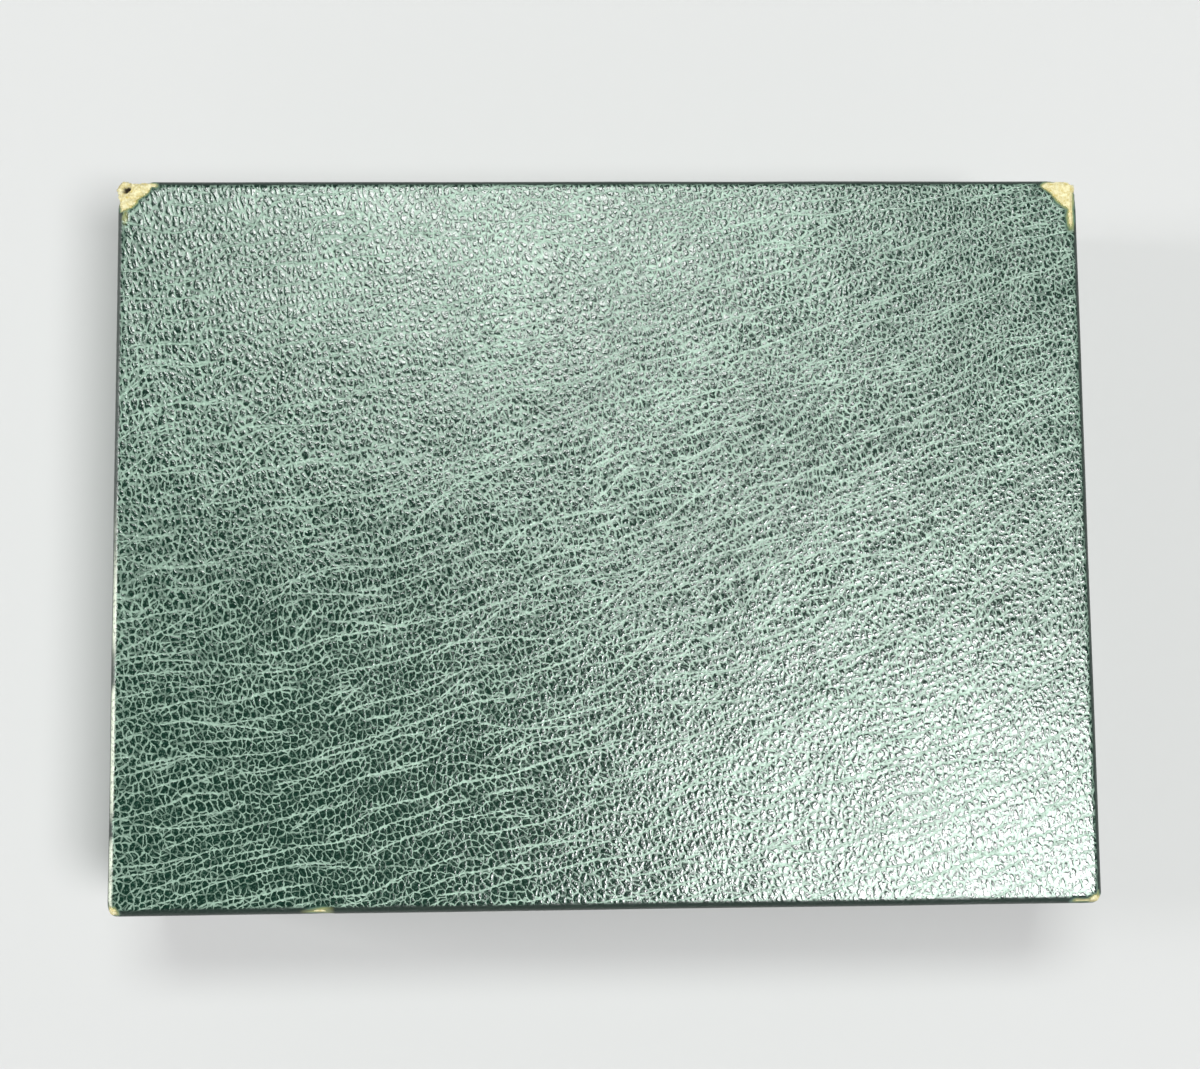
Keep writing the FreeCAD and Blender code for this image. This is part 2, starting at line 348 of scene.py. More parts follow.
def leatherette(name):
    """Embossed leather-grain cover: dark glossy pebbles in a pale matt network of creases."""
    s = Shader(name)
    uv = s.uv()
    sway = s.vector("SUBTRACT", s.noise(uv, 0.045, 2.0, flat=True)["Color"], (0.5, 0.5, 0.5))
    uv = s.vector("ADD", uv, s.scaled(sway, (3.0, 4.2, 0)))
    fray = s.vector("SUBTRACT", s.noise(uv, 1.2, 2.0, 0.6, flat=True)["Color"], (0.5, 0.5, 0.5))
    wavy = s.vector("ADD", uv, s.scaled(fray, (0.62, 0.62, 0)))
    calm = s.vector("ADD", uv, s.scaled(fray, (0.50, 0.50, 0)))

    patch = s.noise(uv, 0.13, 2.0, flat=True)["Fac"]
    region = away_from(s, uv, FINE_SPOT, 12.0, 72.0)
    more_long = s.blend(region, 0.07, 0.0)
    more_steep = s.blend(away_from(s, uv, STEEP_SPOT, 14.0, 46.0), 0.16, -0.06)
    long_breadth = s.step(patch, 0.35, 0.65, 0.90, 1.12)
    breadth = s.times(long_breadth, s.blend(region, 0.64, 1.08))
    longest = beside = 0.0
    extras = (more_long, more_steep, 0.0)
    for (spacing, angle, seed, low, high), more in zip(CREASE_FAMILIES, extras):
        off, shown = crease_lines(s, calm, spacing, angle, seed)
        shown = s.step(s.add(shown, more), low, high)
        line = s.less(1.0, s.step(s.over(off, long_breadth), 0.04, 0.15))
        longest = s.larger(longest, s.times(line, shown))
        near = s.less(1.0, s.step(off, 0.10, 0.52))
        beside = s.larger(beside, s.times(near, shown))
    beside = s.times(beside, s.blend(region, 1.0, 0.55))
    cells = s.crack(s.scaled(wavy, (1 / CELL_SIZE[0], 1 / CELL_SIZE[1], 0)), 0.92)
    specks = s.crack(s.scaled(wavy, (1 / SPECK_SIZE[0], 1 / SPECK_SIZE[1], 0)))
    grit = s.noise(wavy, 2.6, 2.0, 0.6, flat=True)["Fac"]
    breadth = s.times(breadth, s.blend(beside, 1.0, 1.30))
    line_cell = s.less(1.0, s.step(s.over(cells, breadth), 0.06, 0.155))
    some = s.step(s.noise(wavy, 0.55, 2.0, flat=True)["Fac"], 0.36, 0.56, 0.50, 0.90)
    some = s.larger(s.times(some, s.blend(region, 0.96, 1.0)), beside)
    line_cell = s.times(line_cell, some)
    line_speck = s.less(1.0, s.step(specks, 0.05, 0.19))
    line_speck = s.times(line_speck, s.step(grit, 0.46, 0.60, 0.0, 0.56))
    line_speck = s.times(line_speck, s.blend(region, 0.25, 1.0))
    network = s.larger(s.larger(longest, line_cell), line_speck)

    rub = s.attribute("rub")
    network = s.times(network, s.step(rub, 0.1, 0.8, 1.0, 0.25))
    fold = s.attribute("fold")
    network = s.times(network, s.step(fold, 0.0, 1.0, 1.0, 0.03))

    tone = s.noise(uv, 0.045, 3.0, flat=True)["Fac"]
    crease = s.mix(s.step(tone, 0.35, 0.65), toned(CREASE_GREEN, 0.90),
                   toned(CREASE_GREEN, 1.10))
    cell = s.mix(s.step(grit, 0.35, 0.7), CELL_GREEN, toned(CELL_GREEN, 1.7))
    # Painted shade: the cells are darkened on the bend of each edge.
    cell = s.mix(fold, cell, FOLD_SHADE_GREEN)
    cell = s.mix(s.step(rub, 0.2, 1.0), cell, RUBBED_GREEN)
    crease = s.mix(region, toned(CREASE_GREEN, 1.20), crease)
    vein = s.noise(wavy, 1.5, 2.0, 0.6, flat=True)["Fac"]
    crease = s.mix(s.step(vein, 0.36, 0.60, 0.45, 0.0), crease, toned(CREASE_GREEN, 0.40))
    colour = s.mix(network, cell, crease)
    smudge = s.noise(s.vector("ADD", uv, (31.0, 7.0, 0)), 0.11, 4.0, 0.65, flat=True)["Fac"]
    colour = s.mix(s.attribute("thin"), colour, THIN_OLIVE)
    # Painted highlight: a pale broken line along the left edge's rounding.
    edge_highlight = s.times(s.attribute("edge_highlight"), s.step(grit, 0.36, 0.48, 0.45, 1.0))
    colour = s.mix(edge_highlight, colour, EDGE_HIGHLIGHT_CREAM)
    colour = s.mix(s.step(smudge, 0.74, 0.86, 0, 0.35), colour, DIRT)

    height = s.times(s.less(1.0, longest), 0.45)
    height = s.add(height, s.times(s.step(cells, 0.0, 0.40), 0.55))
    height = s.add(height, s.times(s.step(specks, 0.0, 0.36), 0.18))
    height = s.times(height, s.step(rub, 0.2, 1.0, 1.0, 0.35))
    height = s.times(height, s.blend(region, 0.66, 1.0))
    swell = s.noise(uv, 0.10, 2.0, flat=True)["Fac"]
    normal = s.bump(swell, 0.9, 0.18)
    normal = s.bump(height, 0.046, 0.9, normal)

    rough = s.blend(network, 0.150, 0.38)
    rough = s.add(rough, s.step(grit, 0.3, 0.8, -0.03, 0.05))
    rough = s.add(rough, s.times(fold, 0.26))
    return s.finish(Base_Color=colour, Roughness=rough, Metallic=s.times(network, 0.13),
                    Normal=normal, IOR=1.5, Specular_IOR_Level=0.8)


def strawboard(name, colour=(0.72, 0.60, 0.33), fibre=1.0):
    """Grey-yellow board: matted straw fibres with darker flecks and laminated edges."""
    s = Shader(name)
    p = s.object_mm()
    mat = s.noise(s.scaled(p, (0.7, 0.7, 3.2)), 1.6, 5.0, 0.7)["Fac"]
    hair = s.noise(s.scaled(p, (1.0, 5.0, 4.0)), 1.5, 4.0, 0.65, distortion=1.2)["Fac"]
    fleck = s.noise(p, 2.4, 2.0, 0.5, distortion=0.8)["Fac"]
    tone = s.mix(s.step(mat, 0.3, 0.7), toned(colour, 0.72), toned(colour, 1.12))
    tone = s.mix(s.step(hair, 0.56, 0.72, 0, 0.55), tone, toned(colour, 1.35))
    tone = s.mix(s.step(fleck, 0.66, 0.76, 0, 0.6), tone, (0.30, 0.20, 0.09))
    height = s.add(mat, hair)
    return s.finish(Base_Color=tone, Roughness=s.step(mat, 0.2, 0.8, 0.72, 0.92),
                    Normal=s.bump(height, 0.10 * fibre, 0.9))


def worn_board(name):
    """Board laid bare at a rubbed corner: cream fibres, and painted shade in the hollows."""
    s = Shader(name)
    p = s.object_mm()
    mat = s.noise(p, 1.9, 5.0, 0.7)["Fac"]
    hair = s.noise(s.scaled(p, (1.2, 3.5, 4.0)), 1.8, 4.0, 0.7, distortion=2.0)["Fac"]
    pit = s.attribute("pit")
    tone = s.mix(s.step(mat, 0.32, 0.68), (0.66, 0.53, 0.17), (0.99, 0.94, 0.62))
    tone = s.mix(s.step(hair, 0.52, 0.70, 0, 0.7), tone, (0.98, 0.96, 0.72))
    tone = s.mix(s.step(s.noise(p, 0.9, 3.0)["Fac"], 0.56, 0.74, 0, 0.4), tone, (0.60, 0.50, 0.20))
    # Painted shade: the pit and the notch are coloured near black.
    tone = s.mix(s.step(pit, 0.15, 0.8), tone, (0.028, 0.022, 0.010))
    height = s.add(mat, hair)
    return s.finish(Base_Color=tone, Roughness=s.step(mat, 0.2, 0.8, 0.70, 0.92),
                    Normal=s.bump(height, 0.19, 0.9))


def paper(name, colour, fibre=0.5, mottling=0.10):
    """Uncoated paper: fine fibres, cloudy formation, a few specks."""
    s = Shader(name)
    p = s.object_mm()
    cloud = s.noise(p, 0.22, 4.0)["Fac"]
    fine = s.noise(p, 7.0, 3.0, 0.7)["Fac"]
    hair = s.noise(s.scaled(p, (1.0, 6.0, 6.0)), 1.2, 3.0, 0.6, distortion=1.5)["Fac"]
    tone = s.mix(s.step(cloud, 0.3, 0.7), toned(colour, 1 - mottling),
                 toned(colour, 1 + mottling))
    tone = s.mix(s.step(hair, 0.60, 0.75, 0, 0.30), tone, toned(colour, 0.72))
    height = s.add(fine, s.times(hair, 0.6))
    return s.finish(Base_Color=tone, Roughness=s.step(fine, 0.2, 0.8, 0.60, 0.78),
                    Normal=s.bump(height, 0.035 * fibre / 0.5, 0.8))


def velvet(name, colour):
    """Short flocked pile: brushed marks, fine nap and a soft sheen."""
    s = Shader(name)
    p = s.object_mm()
    brushed = s.noise(s.scaled(p, (0.16, 0.05, 0.16)), 1.0, 4.0, 0.55)["Fac"]
    nap = s.noise(p, 8.0, 2.0, 0.7)["Fac"]
    tuft = s.noise(p, 2.4, 3.0, 0.65)["Fac"]
    tone = s.mix(s.step(brushed, 0.38, 0.64), toned(colour, 0.80), toned(colour, 1.22))
    tone = s.mix(s.step(tuft, 0.40, 0.70, 0, 0.6), tone, toned(colour, 0.62))
    tone = s.mix(s.step(nap, 0.50, 0.72, 0, 0.55), tone, toned(colour, 2.0))
    height = s.add(s.times(nap, 0.8), s.times(tuft, 0.7))
    return s.finish(Base_Color=tone, Roughness=s.step(tuft, 0.2, 0.8, 0.82, 0.98),
                    Normal=s.bump(height, 0.16, 0.9), Sheen_Weight=0.40, Sheen_Roughness=0.40,
                    Sheen_Tint=(0.45, 0.80, 0.62), Specular_IOR_Level=0.15)


def satin(name, colour, warp_pitch=0.16, ribbed=0.0):
    """Satin weave: fine floats across, optional ribs, an uneven lustre."""
    s = Shader(name)
    uv = s.uv()
    drift = s.noise(uv, 0.9, 2.0, flat=True)["Fac"]
    split = s.node("SeparateXYZ", Vector=uv)
    across = s.over(split.outputs[0], warp_pitch)
    along = s.over(split.outputs[1], warp_pitch)
    floats = s.math("SINE", s.times(s.add(along, s.times(drift, 1.2)), TURN))
    tie = s.math("SINE", s.times(s.add(across, s.times(along, 0.4)), TIE_TURN))
    weave = s.add(s.times(floats, 0.5), s.times(tie, 0.22))
    if ribbed:
        rib = s.math("SINE", s.times(split.outputs[1], TURN / ribbed))
        weave = s.add(weave, s.times(rib, 1.6))
    slub = s.noise(s.scaled(uv, (0.25, 5.0, 1.0)), 0.9, 3.0, 0.6, flat=True)["Fac"]
    shade = s.step(s.add(s.times(weave, 0.35), slub), 0.1, 1.0)
    tone = s.mix(shade, toned(colour, 0.74), toned(colour, 1.12))
    age = s.noise(uv, 0.07, 4.0, 0.6, flat=True)["Fac"]
    aged = (colour[0] * 0.85, colour[1] * 0.72, colour[2] * 0.5)
    tone = s.mix(s.step(age, 0.5, 0.75, 0, 0.30), tone, aged)
    return s.finish(Base_Color=tone, Roughness=s.step(slub, 0.2, 0.8, 0.30, 0.46),
                    Normal=s.bump(weave, 0.055 if ribbed else 0.025, 0.8), Anisotropic=0.5,
                    Sheen_Weight=0.25, Sheen_Roughness=0.35)


LEATHER = leatherette("leatherette")
BACKING = strawboard("leatherette_backing", (0.66, 0.60, 0.36), 0.6)
BOARD = strawboard("strawboard")
WORN = worn_board("worn_corner_board")
GREEN_PAPER = paper("bottom_paper", (0.035, 0.085, 0.070), 0.8, 0.16)
SHOULDER_PAPER = paper("shoulder_paper", (0.70, 0.56, 0.30), 0.5)
LID_PAPER = paper("lid_paper", (0.78, 0.70, 0.53), 0.5)
VELVET = velvet("bottle_green_velvet", (0.016, 0.082, 0.052))
PAD_SATIN = satin("ivory_satin", (0.80, 0.72, 0.56), 0.20)
RIBBON_SATIN = satin("gold_ribbon", (0.60, 0.385, 0.10), 0.16, ribbed=0.55)


# ---------------------------------------------------------------- swept covers
class Sweep:
    """Rows of points round a rectangle, each at its own inset and height, with an optional cap."""

    def __init__(self, half, xs, ys):
        self.half = np.array(half, float)
        self.xs, self.ys = xs, ys
        self.arc_x, self.arc_y = xs, ys  # how far along the sheet each grid line lies
        nx, ny = len(xs) - 1, len(ys) - 1
        loop = [(i, 0) for i in range(nx)] + [(nx, j) for j in range(ny)]
        loop += [(i, ny) for i in range(nx, 0, -1)] + [(0, j) for j in range(ny, 0, -1)]
        self.loop = loop
        self.flat = np.array([(xs[i], ys[j]) for i, j in loop])
        self.side = ["front"] * nx + ["right"] * ny + ["back"] * nx + ["left"] * ny
        self.verts, self.faces, self.uv = [], [], []
        self.rows, self.reach = [], []  # each row's vertices, and its distance along the sheet

    def rounded(self, x, y, z, height, radius):
        """The nearest point of a block whose upper edges are rounded."""
        p = np.array([x, y, z])
        flat = [np.clip(p[k], -(self.half[k] - radius), self.half[k] - radius) for k in (0, 1)]
        centre = np.array([*flat, min(z, height - radius)])
        out = p - centre
        length = np.linalg.norm(out)
        return centre + out * (radius / length) if length > 0 else p

    def add_cap(self, height, radius, reach):
        """The top as a grid, and its border as the first row."""
        grid = {}
        for i, x in enumerate(self.xs):
            for j, y in enumerate(self.ys):
                grid[i, j] = len(self.verts)
                self.verts.append(self.rounded(x, y, height, height, radius))
        for i in range(len(self.xs) - 1):
            for j in range(len(self.ys) - 1):
                quad = [(i, j), (i + 1, j), (i + 1, j + 1), (i, j + 1)]
                self.faces.append([grid[q] for q in quad])
                self.uv += [(self.arc_x[a], self.arc_y[b]) for a, b in quad]
        self.rows.append([grid[c] for c in self.loop])
        self.reach.append(reach)

    def add_wall(self, h, height, radius, reach):
        """A row of the wall at height h."""
        start = len(self.verts)
        self.verts += [self.rounded(x, y, h, height, radius) for x, y in self.flat]
        self.rows.append([start + k for k in range(len(self.flat))])
        self.reach.append(reach)

    def ring(self, inset, corner_r):
        """The loop's points at an inset, with rounded corners."""
        half = self.half - inset
        p = self.flat * half / self.half
        centre = np.clip(p, -(half - corner_r), half - corner_r)
        out = p - centre
        length = np.linalg.norm(out, axis=1)
        length[length == 0] = 1
        return centre + out / length[:, None] * corner_r

    def add_row(self, points, z, reach):
        start = len(self.verts)
        z = np.broadcast_to(np.asarray(z, float), (len(points),))
        self.verts += [np.array([p[0], p[1], h]) for p, h in zip(points, z)]
        self.rows.append([start + k for k in range(len(points))])
        self.reach.append(reach)

    def sheet_point(self, side, k, reach):
        """Where a loop point lies on the flat sheet."""
        x, y = self.arc_x[self.loop[k][0]], self.arc_y[self.loop[k][1]]
        hx, hy = self.half
        if side == "front":
            return x, -(hy + reach)
        if side == "back":
            return x, hy + reach
        if side == "right":
            return hx + reach, y
        return -(hx + reach), y

    def join_rows(self, flip=False):
        count = len(self.loop)
        for r in range(len(self.rows) - 1):
            for k in range(count):
                n = (k + 1) % count
                side = self.side[k]
                quad = [(r, k), (r + 1, k), (r + 1, n), (r, n)]
                if flip:
                    quad.reverse()
                self.faces.append([self.rows[a][b] for a, b in quad])
                self.uv += [self.sheet_point(side, b, self.reach[a]) for a, b in quad]


def unrolled(line, half, radius):
    """Grid lines measured along the cover, where the cap's edges are rounded."""
    over = np.clip(np.abs(line) - (half - radius), 0, None)
    flat = np.minimum(np.abs(line), half - radius)
    return np.sign(line) * (flat + radius * np.arctan2(over, radius))


def cover(half, xs, ys, height, radius, wall_rows, rim, turn_in, inner_inset):
    """A covered tray, cap up and rim at height 0: cap, walls, folded rim and inner turn-in.

    rim is the fold's radius.
    """
    s = Sweep(half, xs, ys)
    s.arc_x, s.arc_y = unrolled(xs, half[0], radius), unrolled(ys, half[1], radius)
    s.add_cap(height, radius, radius * (math.pi / 4 - 1))
    s.cap_faces = len(s.faces)
    for h in wall_rows:
        above = h - (height - radius)
        turned = math.pi / 2 - math.atan2(above, radius) if above > 0 else math.pi / 2
        s.add_wall(h, height, radius, radius * turned - min(above, 0) - radius)

    reach = s.reach[-1]
    last = (0.0, wall_rows[-1])
    quarter_turn = np.linspace(0, math.pi / 2, 5)[1:]
    profile = [(rim * (1 - math.cos(a)), rim * (1 - math.sin(a))) for a in quarter_turn]
    flat_end = inner_inset - rim
    profile += [(d, 0.0) for d in rows_between(rim, flat_end, 0.4)[1:]]
    profile += [(flat_end + rim * math.sin(a), rim * (1 - math.cos(a))) for a in quarter_turn]
    profile += [(inner_inset, h) for h in rows_between(rim, turn_in, 0.6)[1:]]
    for inset, h in profile:
        reach += math.hypot(inset - last[0], h - last[1])
        last = (inset, h)
        s.add_row(s.ring(inset, max(0.3, radius - inset)), h, reach)
    s.join_rows()
    return s


def tray(half, xs, ys, height, radius, wall_rows):
    """A closed block with rounded top edges: cap, walls and floor."""
    s = Sweep(half, xs, ys)
    s.arc_x, s.arc_y = unrolled(xs, half[0], radius), unrolled(ys, half[1], radius)
    s.add_cap(height, radius, radius * (math.pi / 4 - 1))
    for h in wall_rows:
        s.add_wall(h, height, radius, height - radius - h + radius * 0.57)
    s.join_rows()
    bottom = s.rows[-1][::-1]
    s.faces.append(bottom)
    s.uv += [(0.0, 0.0)] * len(bottom)
    return s


# ---------------------------------------------------------------- the grain's flow over the sheet
SHEET_HALF = (66.0, 49.5)  # the lid's top, which the flow is described on
RISE = 20.0  # how far a crease climbs from the middle to the right edge
RISE_BEND = 4.6  # how it steepens towards the right
RISE_BACK = -2.0  # how it flattens towards the back
RISE_TWIST = 4.0
RISE_FALL = -4.6
LEAN = 13.4  # how the cross lines lean
LEAN_BEND = 4.5


def flow(points, shift=0.0):
    """Sheet positions to grain positions, so that the creases run across it in gentle arcs.

    Each cover has its own shift, so that no two are cut from the same stretch of grain.
    """
    p = np.asarray(points, float)
    x = np.clip(p[:, 0] / SHEET_HALF[0], -1.25, 1.25)
    y = np.clip(p[:, 1] / SHEET_HALF[1], -1.15, 1.15)
    rise = x * (RISE + RISE_BEND * x + RISE_BACK * y + RISE_TWIST * x * y + RISE_FALL * y * y)
    lean = y * (LEAN + LEAN_BEND * x)
    along, across = p[:, 0] + lean + GRAIN_START[0], p[:, 1] - rise + GRAIN_START[1]
    return np.stack([along + shift, across + shift], 1)


# ---------------------------------------------------------------- worn corners of the lid
WEAR = [
    # corner signs, reach along x, along y and down the edge, raggedness, and the
    # width of cover left standing along the side edge
    {"at": (-1, 1), "x": 5.9, "y": 5.0, "z": 2.6, "rag": 0.32, "strip": 0.0},
    {"at": (1, 1), "x": 5.7, "y": 5.5, "z": 2.0, "rag": 0.14, "strip": 0.55},
    {"at": (-1, -1), "x": 2.0, "y": 2.3, "z": 1.5, "rag": 0.22, "strip": 0.0},
    {"at": (1, -1), "x": 2.6, "y": 1.5, "z": 1.5, "rag": 0.22, "strip": 0.0},
]
NO_WEAR = -9.0  # the depth given to points that no patch comes near
EDGE_SCUFFS = [
    # start and end along the edge, which edge, how far in from it, half width
    {"edge": "right", "from": 45.6, "to": 43.2, "in": 0.95, "width": 0.30},
    {"edge": "front", "from": 63.9, "to": 62.6, "in": 0.32, "width": 0.18},
    {"edge": "front", "from": -38.5, "to": -37.6, "in": 0.32, "width": 0.40},
]


def wear_depth(points, half, top):
    """How far inside a worn patch each point is, in millimetres; negative outside."""
    p = np.asarray(points, float)
    best = np.full(len(p), NO_WEAR)
    near = (half[0] - np.abs(p[:, 0]) < 9) | (half[1] - np.abs(p[:, 1]) < 9)
    near &= p[:, 2] > top - 8
    index = np.nonzero(near)[0]
    if not len(index):
        return best
    q = p[index]
    rough = ripple(q, 1.7, 1.3, 4)
    fine = ripple(q, 0.55, 4.9, 2)
    value = np.full(len(q), NO_WEAR)
    for w in WEAR:
        sx, sy = w["at"]
        from_corner = np.stack([half[0] - sx * q[:, 0], half[1] - sy * q[:, 1], top - q[:, 2]], 1)
        share = np.clip(from_corner, 0, None) / np.array([w["x"], w["y"], w["z"]])
        inside = (1 - share.sum(1)) * min(w["x"], w["y"])
        inside += w["rag"] * min(1, w["x"] / 3) * (2.2 * rough + 1.2 * fine)
        if w["strip"]:
            standing = from_corner[:, 0] - w["strip"] + 0.15 * rough
            standing += 3.0 * smooth(1.9, 1.1, from_corner[:, 1])
            inside = np.minimum(inside, standing)
        value = np.maximum(value, inside)
    for e in EDGE_SCUFFS:
        level = top - (0.32 if e["in"] < 0.5 else 0.0)
        if e["edge"] == "right":
            along, inward = q[:, 1], half[0] - e["in"] - q[:, 0]
        else:
            along, inward = q[:, 0], half[1] - e["in"] + q[:, 1]
        off = np.hypot(inward, level - q[:, 2])
        low, high = sorted((e["from"], e["to"]))
        past = np.clip(low - along, 0, None) + np.clip(along - high, 0, None)
        reach = e["width"] + 0.35 * rough * e["width"] * 2
        value = np.maximum(value, reach - np.hypot(off, past * 0.8))
    best[index] = value
    return best


def cut_worn(verts, faces, uv, wear):
    """Removes the faces inside the wear, and draws the edge of the hole along its true line."""
    verts = np.array(verts)
    wear = wear.copy()
    near = set(np.nonzero(np.abs(wear) < 0.6)[0].tolist())
    target = {}
    for face in faces:
        for k, a in enumerate(face):
            b = face[(k + 1) % len(face)]
            if a in near and b in near and wear[a] * wear[b] < 0:
                share = wear[a] / (wear[a] - wear[b])
                point = verts[a] + (verts[b] - verts[a]) * share
                mover, amount = (a, share) if share <= 0.5 else (b, 1 - share)
                if mover not in target or amount < target[mover][0]:
                    target[mover] = (amount, point)
    for v, (_, point) in target.items():
        verts[v] = point
        wear[v] = 0.0
    kept_faces, kept_uv = [], []
    for face, loops in with_corners(faces, uv):
        if min(wear[v] for v in face) < 0:
            kept_faces.append(face)
            kept_uv += loops
    return verts, kept_faces, kept_uv, wear


def drop_loose(obj):
    made = bmesh.new()
    made.from_mesh(obj.data)
    loose = [v for v in made.verts if not v.link_faces]
    bmesh.ops.delete(made, geom=loose, context="VERTS")
    made.to_mesh(obj.data)
    made.free()


# ---------------------------------------------------------------- lid cover
LID_LOW, LID_HIGH = node_box("lid_wrap")
BASE_LOW, BASE_HIGH = node_box("base_wrap")
HALF, _ = plan(LID_LOW, LID_HIGH)
EDGE_R = 1.1
SKIN_T = 0.33


def outward(points, half, top, radius):
    """Unit vectors out of a rounded tray's surface."""
    p = np.asarray(points, float)
    c = np.stack([np.clip(p[:, 0], -(half[0] - radius), half[0] - radius),
                  np.clip(p[:, 1], -(half[1] - radius), half[1] - radius),
                  np.minimum(p[:, 2], top - radius)], 1)
    d = p - c
    n = np.linalg.norm(d, axis=1)
    n[n == 0] = 1
    return d / n[:, None]


def fold_band(points, half, top):
    """The doubled cover beside each upright corner, on the front and back walls."""
    p = np.asarray(points, float)
    on_wall = smooth(half[1] - 0.45, half[1] - 0.15, np.abs(p[:, 1]))
    on_wall *= smooth(1.4, 2.6, top - p[:, 2])
    edge = half[0] - 5.2 - 0.25 * np.sin(p[:, 2] * 0.55)
    return on_wall * smooth(edge - 0.12, edge + 0.12, np.abs(p[:, 0]))


def thinned(points, wear):
    """Where the film has nearly rubbed through: beside the bare board and in a trail below it."""
    p = np.asarray(points, float)
    patchy = ripple(p, 0.8, 6.6, 3)
    beside = smooth(-0.42, -0.04, wear + 0.14 * patchy)
    from_edge = p[:, 0] + HALF[0] - 0.95 - 0.12 * (HALF[1] - p[:, 1] - 4.0)
    off = np.hypot(from_edge, 0.45 * (p[:, 1] - HALF[1] + 5.0))
    trail = smooth(0.62, 0.20, off + 0.25 * patchy) * (p[:, 2] > LID_HIGH[2] - 1.5)
    return np.clip(0.75 * beside + 0.60 * trail, 0, 1)


def left_edge_highlight(points, half, top):
    """A broken pale line painted along the front half of the left edge, as a highlight on its rounding.
    """
    p = np.asarray(points, float)
    off = np.hypot(p[:, 0] + half[0] - 0.42, top - 0.16 - p[:, 2])
    run = smooth(8.0, -12.0, p[:, 1]) * smooth(-0.75, -0.1, ripple(p, 5.0, 12.0, 2))
    return smooth(0.46, 0.22, off) * run


def edge_fold_and_shade(points, half, top):
    """Where the cover is stretched smooth over the top's edge, and where that bend is painted dark as
    shade: 1 on the bend, 0 away from it.
    """
    p = np.asarray(points, float)
    in_x = half[0] - np.abs(p[:, 0])
    # The bend, and its painted shade, reach further in along the front edge.
    in_y = half[1] - np.abs(p[:, 1]) - 0.30 * (p[:, 1] < 0)
    inside = np.minimum(in_x, in_y) + 0.14 * ripple(p, 2.6, 3.3, 2)
    down = top - p[:, 2]
    return smooth(0.85, 0.50, inside) * smooth(2.1, 1.2, down)


def make_lid_cover():
    top = LID_HIGH[2] - LID_LOW[2]
    xs = grid_lines(HALF[0], 0.20, 1.6, 5.2)
    ys = grid_lines(HALF[1], 0.20, 1.6, 4.6)
    rows = [top - d for d in (0.20, 0.42, 0.64, 0.87)]
    rows += rows_between(top - EDGE_R, top - 4.0, 0.22) + rows_between(top - 4.0, 0.5, 0.8)[1:]
    s = cover(HALF, xs, ys, top, EDGE_R, rows, 0.5, 6.0, 2.05)
    verts = np.array(s.verts)
    verts[:, 2] += LID_LOW[2]
    wear = wear_depth(verts, HALF, LID_HIGH[2])
    turned_in = (np.abs(verts[:, :2]) < HALF - 1.2).all(1) & (verts[:, 2] < LID_HIGH[2] - 2)
    wear[turned_in] = NO_WEAR
    grain = flow(s.uv)
    verts, faces, uv, wear = cut_worn(verts, s.faces, grain.tolist(), wear)
    normal = outward(verts, HALF, LID_HIGH[2], EDGE_R)
    on_outside = np.abs(normal).sum(1) > 0.5
    lift = 0.05 * ripple(verts, 26.0, 2.0, 2) - 0.20 * smooth(-0.75, 0.0, wear)
    lift += 0.13 * fold_band(verts, HALF, LID_HIGH[2])
    verts = verts + normal * (lift * on_outside)[:, None]
    obj = mesh_object("lid_leatherette", verts, faces, uv, (LEATHER, BACKING))
    rub = smooth(-1.0, -0.1, wear + 0.30 * ripple(verts, 0.9, 9.0, 2))
    point_attribute(obj, "thin", thinned(verts, wear))
    # A pale line painted along the left edge as a highlight.
    point_attribute(obj, "edge_highlight", left_edge_highlight(verts, HALF, LID_HIGH[2]))
    point_attribute(obj, "rub", rub)
    # fold also marks where the edge's bend is painted dark as shade.
    point_attribute(obj, "fold", edge_fold_and_shade(verts, HALF, LID_HIGH[2]))
    drop_loose(obj)
    thicken(obj, SKIN_T, rim_slot=1)
    return place(obj, "lid", "lid_wrap")


def make_base_cover():
    top = BASE_HIGH[2] - BASE_LOW[2]
    xs = grid_lines(HALF[0], 0.28, 2.2, 2.2, 1.3)
    ys = grid_lines(HALF[1], 0.28, 2.2, 2.2, 1.3)
    rows = [top - d for d in (0.25, 0.52, 0.80)]
    rows += rows_between(top - EDGE_R, top - 3.0, 0.5) + rows_between(top - 3.0, 0.5, 1.0)[1:]
    s = cover(HALF, xs, ys, top, EDGE_R, rows, 0.5, 6.0, 2.5)
    verts = np.array(s.verts)
    verts[:, 2] = BASE_HIGH[2] - verts[:, 2]
    faces, uv = [], []
    under = HALF - 12.0
    for n, (face, loops) in enumerate(with_corners(s.faces, s.uv)):
        middle = verts[face].mean(0)
        if n < s.cap_faces and abs(middle[0]) < under[0] and abs(middle[1]) < under[1]:
            continue
        faces.append(face[::-1])
        uv += loops[::-1]
    flipped = verts * [1, 1, -1]
    normal = outward(flipped, HALF, -BASE_LOW[2], EDGE_R) * [1, 1, -1]
    lift = 0.05 * ripple(verts, 24.0, 6.0, 2) * smooth(0.9, 3.0, verts[:, 2] - BASE_LOW[2])
    lift += 0.13 * fold_band(flipped, HALF, -BASE_LOW[2])
    verts = verts + normal * lift[:, None]
    obj = mesh_object("base_leatherette", verts, faces, flow(uv, 400.0), (LEATHER, BACKING))
    at_corner = (HALF - np.abs(verts[:, :2]) < 1.2).all(1)
    low = smooth(3.0, 0.6, verts[:, 2] - BASE_LOW[2])
    rub = at_corner * low * (0.9 + 0.5 * ripple(verts, 1.2, 4.0, 2))
    point_attribute(obj, "rub", np.clip(rub, 0, 1))
    # fold also marks where the edge's bend is painted dark as shade.
    point_attribute(obj, "fold", edge_fold_and_shade(flipped, HALF, -BASE_LOW[2]))
    drop_loose(obj)
    thicken(obj, SKIN_T, rim_slot=1)
    return place(obj, "base", "base_wrap")


